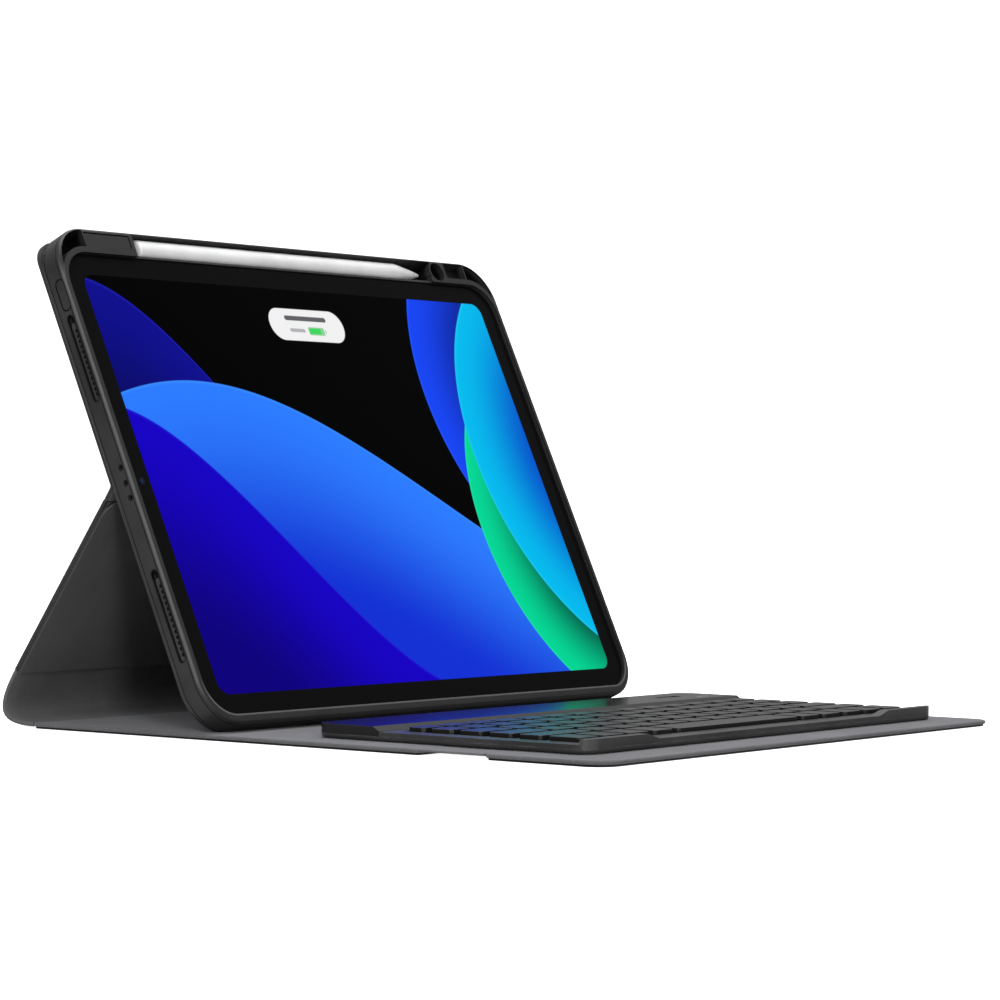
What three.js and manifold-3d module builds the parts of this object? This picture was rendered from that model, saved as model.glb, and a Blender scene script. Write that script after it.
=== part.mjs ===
// Tablet keyboard case, standing open on a table with a tablet and a stylus in it.
// Millimetres, +Z up, +X to the user's right, -Y towards the user.
// The origin is on the table, under the middle of the footprint.
//
// The base lies flat and carries a thin wireless keyboard. A stiff lower back panel rises
// from a soft spine behind it and folds onto the upper back panel, which is bonded to the
// tray that holds the tablet. The tray's bottom edge stands on the base.

import * as THREE from "three";
import { mergeVertices } from "three/addons/utils/BufferGeometryUtils.js";
import Module from "manifold-3d";

// ---------------------------------------------------------------- driving dimensions

const LEAN = THREE.MathUtils.degToRad(24.8);      // tablet, back from the vertical
const BACK_LEAN = THREE.MathUtils.degToRad(35.44); // lower back panel, forward at its top

const TABLET = { width: 247, low: -7.6, high: 168.3, thick: 5.9, corner: 12.5 };
const GLASS_THICK = 0.7;
const SCREEN_EDGE = { y: 35.5, z: 15.07 };        // lower edge of the lit screen
const STYLUS = { radius: 4, left: -80.2, right: 85.7, u: 173.4, depth: 2.95, cone: 17 };

const TRAY_CLEARANCE = 0.3;
const TRAY_WALL = 2.4;
const TRAY_LIP = 1.8;                             // proud of the glass
const TRAY = { low: -11.8, high: 178.3, corner: 16.5, lowBack: 9.2, highBack: 7.8 };
const TRAY_FLOOR = TABLET.thick + 0.3;
const TRAY_STEP_U = 80.5;                         // where the bonded cover panel starts

const COVER_WIDTH = 248.4;
const BASE = { front: -131, flapEnd: -84.5, creaseEnd: -58, rear: 116.5, top: 2.2 };
const PANEL_CORNER = 9;
const SKIN = 0.8;
const LINING = 0.5;
const BOARD_INSET = 1.4;
const BACK_THICK = 2.8;
const CREASE = { u: 79.4, depth: 10.2 };          // mid fold, in the tray's frame
const LOWER_BACK = { top: -2, bottom: -78.3 };    // along the panel, from the mid fold

const KEYBOARD = { half: 110, front: -114.5, rear: -1.5, under: 2.3, deck: 5.5, bar: 7.2, corner: 7 };
const DOCK = { x: 62, length: 44, y: -26, width: 9 }; // magnets that hold the keyboard down
const BAR_FRONT = -27.4;
const BAR_FOOT = -30.2;
const KEY = { low: 5.2, high: 6.9, side: 3.05, unit: 14.15, web: 0.3 };
const KEY_SPAN = 205.05;                          // keys and their gaps, wall to wall

const FOOT_GAP = 0.1;                             // tray over base
const GAP = 0.1;                                  // between pieces that touch

// ---------------------------------------------------------------- helpers

const wasm = await Module();
wasm.setup();

const CORNER_STEPS = 4;
const SMOOTH_STEPS = 12;                          // where a large corner shows

function solid(geometry) {
  const bare = new THREE.BufferGeometry();
  bare.setAttribute("position", geometry.attributes.position);
  if (geometry.index) {
    bare.setIndex(geometry.index);
  }
  const merged = mergeVertices(bare, 1e-4);
  return new wasm.Manifold(new wasm.Mesh({
    numProp: 3,
    vertProperties: merged.attributes.position.array,
    triVerts: Uint32Array.from(merged.index.array),
  }));
}

function geometryOf(manifold) {
  const mesh = manifold.getMesh();
  const geometry = new THREE.BufferGeometry();
  geometry.setAttribute("position", new THREE.BufferAttribute(new Float32Array(mesh.vertProperties), 3));
  geometry.setIndex(new THREE.BufferAttribute(new Uint32Array(mesh.triVerts), 1));
  geometry.computeVertexNormals();
  return geometry;
}

function cut(body, ...tools) {
  return tools.reduce((rest, tool) => rest.subtract(tool), body);
}

function join(body, ...others) {
  return others.reduce((all, other) => all.add(other), body);
}

function roundedRect(x0, y0, x1, y1, r) {
  const shape = new THREE.Shape();
  if (r <= 0) {
    shape.moveTo(x0, y0).lineTo(x1, y0).lineTo(x1, y1).lineTo(x0, y1);
    return shape;
  }
  shape.absarc(x1 - r, y0 + r, r, -Math.PI / 2, 0, false);
  shape.absarc(x1 - r, y1 - r, r, 0, Math.PI / 2, false);
  shape.absarc(x0 + r, y1 - r, r, Math.PI / 2, Math.PI, false);
  shape.absarc(x0 + r, y0 + r, r, Math.PI, Math.PI * 1.5, false);
  return shape;
}

function smooth(shape) {
  shape.userData = { steps: SMOOTH_STEPS };
  return shape;
}

function chamferedRect(x0, y0, x1, y1, c) {
  const shape = new THREE.Shape();
  shape.moveTo(x0 + c, y0).lineTo(x1 - c, y0).lineTo(x1, y0 + c).lineTo(x1, y1 - c);
  shape.lineTo(x1 - c, y1).lineTo(x0 + c, y1).lineTo(x0, y1 - c).lineTo(x0, y0 + c);
  return shape;
}

function polygon(points) {
  return new THREE.Shape(points.map(([x, y]) => new THREE.Vector2(x, y)));
}

function extrude(shape, length, bevel) {
  const curveSegments = shape.userData?.steps ?? CORNER_STEPS;
  const options = { depth: length, bevelEnabled: false, curveSegments };
  if (bevel) {
    Object.assign(options, {
      bevelEnabled: true, bevelThickness: bevel, bevelSize: bevel, bevelOffset: -bevel, bevelSegments: 3,
      depth: length - 2 * bevel,
    });
  }
  const geometry = new THREE.ExtrudeGeometry(shape, options);
  if (bevel) {
    geometry.translate(0, 0, bevel);
  }
  return geometry;
}

// An outline seen from above, between two heights.
function slab(shape, low, high, bevel = 0) {
  const geometry = extrude(shape, high - low, bevel);
  geometry.translate(0, 0, low);
  return solid(geometry);
}

// An outline seen from the front (x, z), between two depths along +Y.
function plate(shape, near, far, bevel = 0) {
  const geometry = extrude(shape, far - near, bevel);
  geometry.rotateX(Math.PI / 2);
  geometry.translate(0, far, 0);
  return solid(geometry);
}

// An outline seen from the side (y, z), between two places along X.
const SIDEWAYS = new THREE.Matrix4().set(
  0, 0, 1, 0,
  1, 0, 0, 0,
  0, 1, 0, 0,
  0, 0, 0, 1,
);
function bar(shape, left, right, bevel = 0) {
  const geometry = extrude(shape, right - left, bevel);
  geometry.applyMatrix4(SIDEWAYS);
  geometry.translate(left, 0, 0);
  return solid(geometry);
}

function block(x0, x1, y0, y1, z0, z1) {
  const geometry = new THREE.BoxGeometry(x1 - x0, y1 - y0, z1 - z0);
  geometry.translate((x0 + x1) / 2, (y0 + y1) / 2, (z0 + z1) / 2);
  return solid(geometry);
}

const MATERIALS = {
  leather: [0x2b2b2d, 0.62, 0],
  lining: [0x6f7074, 0.95, 0],
  board: [0x8a7f6c, 0.9, 0],
  tray: [0x1d1d1f, 0.5, 0],
  key: [0x2e2e30, 0.55, 0],
  deck: [0x262628, 0.5, 0],
  gloss: [0x17171a, 0.12, 0],
  glass: [0x050507, 0.05, 0],
  aluminium: [0x5c5d61, 0.35, 1],
  white: [0xf0f0f0, 0.2, 0],
  magnet: [0x9a9a9c, 0.3, 1],
  battery: [0x4a4b50, 0.4, 0],
  circuit: [0x1f5a36, 0.5, 0],
  membrane: [0xb9b9b2, 0.6, 0],
  lens: [0xd8d8d8, 0.2, 0],
};

const model = new THREE.Group();
model.name = "tablet_keyboard_case";

function add(parent, name, manifold, look) {
  const [color, roughness, metalness] = MATERIALS[look];
  const material = new THREE.MeshStandardMaterial({ color, roughness, metalness });
  const mesh = new THREE.Mesh(geometryOf(manifold), material);
  mesh.name = name;
  parent.add(mesh);
}

// A shallow tray of skin: a plate with turned-up edges that hold a board.
function turnedSkin(outer, inner, shape, low, skinTop, edgeTop) {
  return cut(shape(outer, low, edgeTop), shape(inner, skinTop, edgeTop + 1));
}

// ---------------------------------------------------------------- base and front flap

const HALF = COVER_WIDTH / 2;
const EDGE_TOP = BASE.top - LINING - 0.05;
const BOARD_LOW = SKIN + 0.05;
const BOARD_TOP = EDGE_TOP - 0.05;

// Plain at the crease side, rounded at the free side.
function coverOutline(near, far, inset, roundNear) {
  const x = HALF - inset;
  const y0 = near + inset;
  const y1 = far - inset;
  const r = PANEL_CORNER - inset;
  const s = 1.5;
  const shape = new THREE.Shape();
  const [rNear, rFar] = roundNear ? [r, s] : [s, s];
  shape.absarc(x - rNear, y0 + rNear, rNear, -Math.PI / 2, 0, false);
  shape.absarc(x - rFar, y1 - rFar, rFar, 0, Math.PI / 2, false);
  shape.absarc(-x + rFar, y1 - rFar, rFar, Math.PI / 2, Math.PI, false);
  shape.absarc(-x + rNear, y0 + rNear, rNear, Math.PI, Math.PI * 1.5, false);
  return roundNear ? smooth(shape) : shape;
}

function makeBase() {
  const outer = coverOutline(BASE.creaseEnd, BASE.rear, 0, false);
  const inner = coverOutline(BASE.creaseEnd, BASE.rear, BOARD_INSET - GAP, false);
  const boardOutline = coverOutline(BASE.creaseEnd, BASE.rear, BOARD_INSET, false);
  add(model, "base_skin", turnedSkin(outer, inner, slab, 0, SKIN, EDGE_TOP), "leather");

  const foot = { half: 90, y: 33.5, width: 7 };
  const pocket = 0.3;
  let board = slab(boardOutline, BOARD_LOW, BOARD_TOP);
  for (const [side, name] of [[-1, "dock_magnet_left"], [1, "dock_magnet_right"]]) {
    const x0 = side * DOCK.x - DOCK.length / 2;
    const x1 = x0 + DOCK.length;
    board = cut(board, block(x0 - pocket, x1 + pocket, DOCK.y - pocket, DOCK.y + DOCK.width + pocket, 0, 5));
    add(model, name, block(x0, x1, DOCK.y, DOCK.y + DOCK.width, BOARD_LOW, BOARD_TOP), "magnet");
  }
  board = cut(board, block(-foot.half - pocket, foot.half + pocket, foot.y - pocket, foot.y + foot.width + pocket, 0, 5));
  add(model, "foot_magnet_strip", block(-foot.half, foot.half, foot.y, foot.y + foot.width, BOARD_LOW, BOARD_TOP), "magnet");
  add(model, "base_board", board, "board");
  add(model, "base_lining", slab(coverOutline(BASE.creaseEnd, BASE.rear, 0.2, false), BASE.top - LINING, BASE.top), "lining");
}

function makeFlap() {
  const far = BASE.flapEnd;
  const outer = coverOutline(BASE.front, far, 0, true);
  const inner = coverOutline(BASE.front, far, BOARD_INSET - GAP, true);
  const magnet = { half: 70, y: -112, width: 8 };
  const pocket = 0.3;
  const board = cut(
    slab(coverOutline(BASE.front, far, BOARD_INSET, true), BOARD_LOW, BOARD_TOP),
    block(-magnet.half - pocket, magnet.half + pocket, magnet.y - pocket, magnet.y + magnet.width + pocket, 0, 5),
  );
  add(model, "flap_skin", turnedSkin(outer, inner, slab, 0, SKIN, EDGE_TOP), "leather");
  add(model, "flap_board", board, "board");
  add(model, "flap_magnet", block(-magnet.half, magnet.half, magnet.y, magnet.y + magnet.width, BOARD_LOW, BOARD_TOP), "magnet");
  add(model, "flap_lining", slab(coverOutline(BASE.front, far, 0.2, true), BASE.top - LINING, BASE.top), "lining");
  const strip = roundedRect(-HALF + 0.6, far + GAP, HALF - 0.6, BASE.creaseEnd - GAP, 0);
  add(model, "flap_crease_strip", slab(strip, BASE.top - 1.3, BASE.top), "lining");
}

// ---------------------------------------------------------------- tray frame
// Local x runs along the case, local y goes back from the glass, local z goes up the tablet.

const trayFrame = new THREE.Group();
trayFrame.position.set(0, SCREEN_EDGE.y, SCREEN_EDGE.z);
trayFrame.rotation.x = -LEAN;
model.add(trayFrame);

const TRAY_HALF = TABLET.width / 2 + TRAY_CLEARANCE + TRAY_WALL;
const RING = 2.2;                                 // lip between tablet and stylus channel
const CHANNEL_TOP = STYLUS.u + STYLUS.radius + 0.15;
const CHANNEL_FLOOR = STYLUS.depth + STYLUS.radius + 0.15;
const LEFT_BLOCK = { x0: -109.8, x1: -84.2 };
const LOOP_BLOCK = { x0: 87.6, x1: 98.1, hole: 92.6, radius: 4, wall: 1 };
const RIB = { x0: 110.3, x1: 111.1 };
const CAMERA = { x: -101.5, u: 146, half: 17.5, corner: 8 };
const SIDE_SLOTS = [[13.3, 47.2], [111.3, 144.3]];
const SIDE_DEPTH = 1.5;                           // centre line of the button and the small holes
const SLOT = { depth: 1.75, half: 1.3 };          // the long openings, clear of the glass's front edge
const WALL_GROOVES = [-0.4, 5.6];                 // fine grooves round the wall: near side of each
const GROOVE = { wide: 0.5, deep: 0.35 };
const MIC_HOLES = [74.3, 79.9, 85.7];
const POWER = { low: 146.6, high: 157.8, half: 1.65 };
const VOLUME = [["volume_up_button", -102.6], ["volume_down_button", -90.4]];
const PORT = { u: 80.3, half: 7, near: 0.1, far: 6.1 };

function trayOutline(inset) {
  return smooth(roundedRect(
    -TRAY_HALF + inset, TRAY.low + inset, TRAY_HALF - inset, TRAY.high - inset, TRAY.corner - inset,
  ));
}

function tabletOutline(grow) {
  const half = TABLET.width / 2 + grow;
  return smooth(roundedRect(-half, TABLET.low - grow, half, TABLET.high + grow, TABLET.corner + grow));
}

// A pill-shaped hole through a side wall: centre depth, half width, and the two ends along u.
function sidePill(depth, half, low, high, left, right) {
  return bar(roundedRect(depth - half, low, depth + half, high, half), left, right);
}

function makeTray() {
  const LOW_ROUND = 3;
  const HIGH_ROUND = 1.5;
  const LIP_ROUND = 1.2;
  const low = plate(trayOutline(0), -20, TRAY.lowBack, LOW_ROUND).intersect(block(-200, 200, -40, 40, -50, TRAY_STEP_U));
  const high = plate(trayOutline(0), -20, TRAY.highBack, HIGH_ROUND).intersect(block(-200, 200, -40, 40, TRAY_STEP_U, 300));
  let shell = join(low, high).intersect(plate(trayOutline(0), -TRAY_LIP, 30, LIP_ROUND));
  for (const near of WALL_GROOVES) {
    const ring = cut(
      plate(trayOutline(-2), near, near + GROOVE.wide),
      plate(trayOutline(GROOVE.deep), near - 1, near + GROOVE.wide + 1),
    );
    shell = cut(shell, ring);
  }
  shell = cut(shell, plate(tabletOutline(TRAY_CLEARANCE), -30, TRAY_FLOOR));

  // A flat foot along the bottom edge, level with the table once the tray leans.
  const ground = new THREE.BoxGeometry(300, 300, 100);
  ground.translate(0, -SCREEN_EDGE.y, BASE.top + FOOT_GAP - SCREEN_EDGE.z - 50);
  ground.rotateX(LEAN);
  shell = cut(shell, solid(ground));

  // The space above the tablet's lip, which is left open between its fillings.
  const rimInset = TRAY.high - CHANNEL_TOP;
  const lip = plate(tabletOutline(TRAY_CLEARANCE + RING), -40, 40);
  const rimOutline = roundedRect(-TRAY_HALF + 2, 120, TRAY_HALF - 2, TRAY.high - rimInset, TRAY.corner - 2);
  const above = plate(smooth(rimOutline), -30, CHANNEL_FLOOR);
  let cavity = cut(above, lip);
  const loopRound = (radius, near, far) => {
    const round = new THREE.CylinderGeometry(radius, radius, far - near, 32);
    round.translate(LOOP_BLOCK.hole, (near + far) / 2, STYLUS.u - 0.2);
    return solid(round);
  };
  const loopHole = loopRound(LOOP_BLOCK.radius, -20, CHANNEL_FLOOR);
  const loop = cut(join(
    block(LOOP_BLOCK.hole, LOOP_BLOCK.x1, -30, 30, 100, 200),
    loopRound(LOOP_BLOCK.radius + LOOP_BLOCK.wall, -20, 20),
  ), loopHole);
  const panelFloor = 2.2;
  cavity = cut(
    cavity,
    block(LEFT_BLOCK.x0, LEFT_BLOCK.x1, -40, 40, 100, 200),
    block(LOOP_BLOCK.x1, RIB.x0, panelFloor, 30, 100, 200),
    block(RIB.x0, RIB.x1, -40, 40, 100, 200),
    loop,
  );
  shell = cut(shell, cavity);

  // The stylus lies in a channel that is only a thin shelf away from the tablet.
  const SHELF = 0.8;
  const channelLow = TABLET.high + TRAY_CLEARANCE + SHELF;
  shell = cut(shell, block(LEFT_BLOCK.x1, LOOP_BLOCK.x0, -30, CHANNEL_FLOOR, channelLow, CHANNEL_TOP));
  shell = cut(shell, block(LEFT_BLOCK.x1, LOOP_BLOCK.x0, -30, -0.5, TABLET.high - 3, CHANNEL_TOP));
  shell = cut(shell, loopHole);

  // The closed block's face is a plate set in a frame, with a fine gap along its top and its right side.
  const face = { top: 176.1, right: LEFT_BLOCK.x1 - 1.7, low: 171.4, gap: 0.6, deep: 0.9 };
  const faceDepth = [-30, -TRAY_LIP + face.deep];
  shell = cut(shell, block(LEFT_BLOCK.x0 + 0.6, face.right, ...faceDepth, face.top, face.top + face.gap));
  shell = cut(shell, block(face.right - face.gap, face.right, ...faceDepth, face.low, face.top + 0.1));

  // Openings in the side walls, left and right.
  const throughLeft = [-TRAY_HALF - 5, -TABLET.width / 2];
  const throughRight = [TABLET.width / 2, TRAY_HALF + 5];
  for (const [low, high] of SIDE_SLOTS) {
    shell = cut(shell, sidePill(SLOT.depth, SLOT.half, low, high, ...throughLeft));
    shell = cut(shell, sidePill(SLOT.depth, SLOT.half, low, high, ...throughRight));
  }
  for (const u of MIC_HOLES) {
    shell = cut(shell, sidePill(SIDE_DEPTH - 0.2, 1.1, u - 1.4, u + 1.1, ...throughLeft));
  }
  shell = cut(shell, sidePill(SIDE_DEPTH, POWER.half + 0.4, POWER.low - 0.4, POWER.high + 0.4, ...throughLeft));
  const portOutline = roundedRect(PORT.near, PORT.u - PORT.half, PORT.far, PORT.u + PORT.half, 1.6);
  shell = cut(shell, bar(portOutline, ...throughRight));

  // Slots for the volume buttons in the top wall.
  for (const [, x] of VOLUME) {
    shell = cut(shell, slab(roundedRect(x - 5.2, 0.3, x + 5.2, 4.7, 2.15), TRAY.high - 2.6, TRAY.high + 5));
  }

  // The rear camera's window.
  const c = CAMERA;
  const window = roundedRect(c.x - c.half, c.u - c.half, c.x + c.half, c.u + c.half, c.corner);
  shell = cut(shell, plate(window, 3, 30));
  add(trayFrame, "tray_shell", shell, "tray");
}

function makeTrayButtons() {
  const power = sidePill(SIDE_DEPTH, POWER.half, POWER.low, POWER.high, -TRAY_HALF, -TRAY_HALF + 1.7);
  add(trayFrame, "power_button", power, "tray");
  for (const [name, x] of VOLUME) {
    const outline = roundedRect(x - 4.9, 0.6, x + 4.9, 4.4, 1.85);
    add(trayFrame, name, slab(outline, TRAY.high - 1.8, TRAY.high), "tray");
  }
}

function makeUpperBack() {
  const low = TRAY_STEP_U + 0.4;
  const near = TRAY.highBack + GAP;
  const outerFace = near + 1.6;
  const half = TRAY_HALF - 1.6;
  const high = TRAY.high - 1.6;
  const outline = (inset) => {
    const r = PANEL_CORNER - inset;
    const s = 1;
    const shape = new THREE.Shape();
    shape.absarc(half - inset - s, low + inset + s, s, -Math.PI / 2, 0, false);
    shape.absarc(half - inset - r, high - inset - r, r, 0, Math.PI / 2, false);
    shape.absarc(-half + inset + r, high - inset - r, r, Math.PI / 2, Math.PI, false);
    shape.absarc(-half + inset + s, low + inset + s, s, Math.PI, Math.PI * 1.5, false);
    return smooth(shape);
  };
  const c = CAMERA;
  const window = (grow) => plate(roundedRect(
    c.x - c.half - grow, c.u - c.half - grow, c.x + c.half + grow, c.u + c.half + grow, c.corner + grow,
  ), -5, 30);
  const skinFace = near + 0.85;
  const skin = cut(
    plate(outline(0), near, outerFace),
    cut(plate(outline(BOARD_INSET - GAP), near - 1, skinFace), window(BOARD_INSET - GAP)),
    window(0),
  );
  const board = cut(plate(outline(BOARD_INSET), near, skinFace - 0.1), window(BOARD_INSET));
  add(trayFrame, "upper_back_skin", skin, "leather");
  add(trayFrame, "upper_back_board", board, "board");
}

function makeTablet() {
  const housing = plate(tabletOutline(0), GLASS_THICK + 0.1, TABLET.thick, 1.1);
  add(trayFrame, "tablet_housing", housing, "aluminium");
  add(trayFrame, "tablet_glass", plate(tabletOutline(-0.15), 0, GLASS_THICK), "glass");
  const c = CAMERA;
  const half = c.half - 2;
  const island = roundedRect(c.x - half, c.u - half, c.x + half, c.u + half, c.corner - 2);
  add(trayFrame, "camera_island", plate(island, TABLET.thick + GAP, TABLET.thick + 2.2), "gloss");
}

// A turned body whose axis lies along X at the stylus's place.
function turnedAlongX(profile, sides) {
  const points = profile.map(([x, r]) => new THREE.Vector2(r, x));
  const geometry = new THREE.LatheGeometry(points, sides);
  geometry.rotateZ(-Math.PI / 2);
  geometry.translate(0, STYLUS.depth, STYLUS.u);
  return solid(geometry);
}

function makeStylus() {
  const { left, right, radius, cone } = STYLUS;
  const neck = right - cone;
  const tipStart = right - 7;
  const tipEnd = right - 0.4;
  const radiusAt = (x) => 0.5 + (radius - 0.5) * ((right - x) / cone) ** 0.85;
  const taper = (from, to) => [0, 1, 2, 3, 4].map((k) => from + (to - from) * k / 4).map((x) => [x, radiusAt(x)]);
  const barrel = [[left, 0], [left, radius - 1.1], [left + 0.35, radius - 0.35], [left + 1.1, radius]];
  barrel.push([neck - 0.6, radius], ...taper(neck + 0.4, tipStart - GAP), [tipStart - GAP, 0]);
  add(trayFrame, "stylus_barrel", turnedAlongX(barrel, 32), "white");
  const tip = [[tipStart, 0], ...taper(tipStart, tipEnd), [right, 0.35], [right, 0]];
  add(trayFrame, "stylus_tip", turnedAlongX(tip, 32), "white");
}

// ---------------------------------------------------------------- lower back panel
// Local origin on the mid fold's axis, local z up the panel, local y out of its rear face.

const trayPoint = (depth, u) => [
  SCREEN_EDGE.y + depth * Math.cos(LEAN) + u * Math.sin(LEAN),
  SCREEN_EDGE.z - depth * Math.sin(LEAN) + u * Math.cos(LEAN),
];
const [MID_FOLD_Y, MID_FOLD_Z] = trayPoint(CREASE.depth, CREASE.u);
const backFrame = new THREE.Group();
backFrame.position.set(0, MID_FOLD_Y, MID_FOLD_Z);
backFrame.rotation.x = BACK_LEAN;
model.add(backFrame);
const backPoint = (y, z) => [
  MID_FOLD_Y + y * Math.cos(BACK_LEAN) - z * Math.sin(BACK_LEAN),
  MID_FOLD_Z + y * Math.sin(BACK_LEAN) + z * Math.cos(BACK_LEAN),
];

function makeLowerBack() {
  const { top, bottom } = LOWER_BACK;
  const outline = (inset) => roundedRect(-HALF + inset, bottom + inset, HALF - inset, top - inset, 1.5);
  const liningFace = LINING;
  const boardNear = liningFace + 0.1;
  const boardFar = BACK_THICK - SKIN - 0.1;
  const skin = cut(
    plate(outline(0), boardNear, BACK_THICK),
    plate(outline(BOARD_INSET - GAP), boardNear - 1, boardFar + 0.1),
  );
  add(backFrame, "lower_back_skin", skin, "leather");
  add(backFrame, "lower_back_board", plate(outline(BOARD_INSET), boardNear, boardFar), "board");
  add(backFrame, "lower_back_lining", plate(outline(0.2), 0, liningFace), "lining");
}

// The soft fold between the tray's cover panel and the lower back panel.
function makeMidCrease() {
  const [ay, az] = trayPoint(TRAY.lowBack + 0.5, TRAY_STEP_U + 2);
  const [by, bz] = trayPoint(TRAY.lowBack + 1.5, TRAY_STEP_U + 2);
  const [cy, cz] = backPoint(1.7, LOWER_BACK.top + 0.3);
  const [dy, dz] = backPoint(0.3, LOWER_BACK.top + 0.3);
  const [ey, ez] = trayPoint(TRAY.lowBack + 0.5, CREASE.u - 1);
  const outline = polygon([[ay, az], [ey, ez], [dy, dz], [cy, cz], [by, bz]]);
  add(model, "mid_crease_strip", bar(outline, -HALF + 2, HALF - 2), "leather");
}

// The spine leaves the lower back panel along its own direction and curls under to the base.
function makeSpine() {
  const thick = 1.5;
  const lift = 0.8;
  const [sy, sz] = backPoint(BACK_THICK - 0.2, LOWER_BACK.bottom - 0.4);
  const down = [Math.sin(BACK_LEAN), -Math.cos(BACK_LEAN)];
  const reach = 18.2;
  const tail = 16.6;
  const start = new THREE.Vector2(sy, sz);
  const end = new THREE.Vector2(BASE.rear + 0.4, lift);
  const curve = new THREE.CubicBezierCurve(
    start,
    new THREE.Vector2(sy + down[0] * reach, sz + down[1] * reach),
    new THREE.Vector2(end.x + tail, end.y),
    end,
  );
  const steps = 20;
  const outer = curve.getPoints(steps);
  const inner = outer.map((point, i) => {
    const tangent = curve.getTangent(i / steps);
    return new THREE.Vector2(point.x + tangent.y * thick, point.y - tangent.x * thick);
  });
  const ring = [...outer, ...inner.reverse()];
  if (THREE.ShapeUtils.area(ring) < 0) {
    ring.reverse();
  }
  add(model, "spine_strip", bar(new THREE.Shape(ring), -HALF + 0.6, HALF - 0.6), "leather");
}

// ---------------------------------------------------------------- keyboard

const keyboardOutline = (inset) => smooth(roundedRect(
  -KEYBOARD.half + inset, KEYBOARD.front + inset, KEYBOARD.half - inset, KEYBOARD.rear - inset, KEYBOARD.corner - inset,
));
const SHELL_SPLIT = 3.9;
const WELL = { half: 102.3, front: -105.7, rear: BAR_FOOT - 3.1 };

// Key rows from the back to the front: y centre, depth, and key widths in key units.
const UNITS_IN_ROW = KEY_SPAN / KEY.unit;
const letters = (count) => Array(count).fill(1);
const rest = (units) => UNITS_IN_ROW - units.reduce((sum, unit) => sum + unit, 0);
const ROWS = [
  { y: -38.3, depth: 6.8, units: Array(14).fill(UNITS_IN_ROW / 14) },
  { y: -48.95, depth: 9.1, units: [...letters(13), rest(letters(13))] },
  { y: -60.85, depth: 9.3, units: [1.49, ...letters(12), rest([1.49, ...letters(12)])] },
  { y: -73.05, depth: 9.3, units: [1.74, ...letters(11), rest([1.74, ...letters(11)])] },
  { y: -85.15, depth: 9.1, units: [2.24, ...letters(10), rest([2.24, ...letters(10)])] },
  { y: -98.8, depth: 12.6, units: [...letters(4), UNITS_IN_ROW - 9, ...letters(5)] },
];

function keyBoxes(row) {
  let x = -KEY_SPAN / 2;
  return row.units.map((units) => {
    const width = units * KEY.unit;
    const box = { x0: x + KEY.side / 2, x1: x + width - KEY.side / 2 };
    x += width;
    return { ...box, y0: row.y - row.depth / 2, y1: row.y + row.depth / 2 };
  });
}

function keyCap({ x0, x1, y0, y1 }) {
  return slab(chamferedRect(x0, y0, x1, y1, 0.9), KEY.low, KEY.high);
}

// Neighbouring keys on one moulded web.
function keyStrip(boxes) {
  const first = boxes[0];
  const last = boxes[boxes.length - 1];
  const web = block(first.x0 + 2, last.x1 - 2, first.y0 + 1.2, first.y1 - 1.2, KEY.low, KEY.low + KEY.web);
  return join(web, ...boxes.map(keyCap));
}

function makeKeys() {
  const [functionRow, numberRow, topRow, homeRow, lowerRow, frontRow] = ROWS.map(keyBoxes);
  add(model, "function_keys", keyStrip(functionRow), "key");
  add(model, "number_keys", keyStrip(numberRow.slice(0, -1)), "key");
  add(model, "backspace_key", keyCap(numberRow.at(-1)), "key");
  add(model, "tab_key", keyCap(topRow[0]), "key");
  add(model, "top_letter_keys", keyStrip(topRow.slice(1)), "key");
  add(model, "caps_lock_key", keyCap(homeRow[0]), "key");
  add(model, "home_letter_keys", keyStrip(homeRow.slice(1, -1)), "key");
  add(model, "enter_key", keyCap(homeRow.at(-1)), "key");
  add(model, "left_shift_key", keyCap(lowerRow[0]), "key");
  add(model, "lower_letter_keys", keyStrip(lowerRow.slice(1, -1)), "key");
  add(model, "right_shift_key", keyCap(lowerRow.at(-1)), "key");
  const names = [
    "fn_key", "control_key", "left_alt_key", "left_meta_key", "space_bar",
    "right_meta_key", "right_alt_key", "left_arrow_key", "vertical_arrow_key", "right_arrow_key",
  ];
  names.forEach((name, i) => add(model, name, keyCap(frontRow[i]), "key"));
}

const SWITCH = { x0: 75.5, x1: 90.5, y: -14, half: 1.6, travel: 3 };
const LENS = { x0: 93, x1: 101, y: -20.4, half: 0.8 };
const PORT_SHELL = { x0: 102.5, y: -16, half: 4.8, low: 4.2, high: 6.4 };

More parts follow.
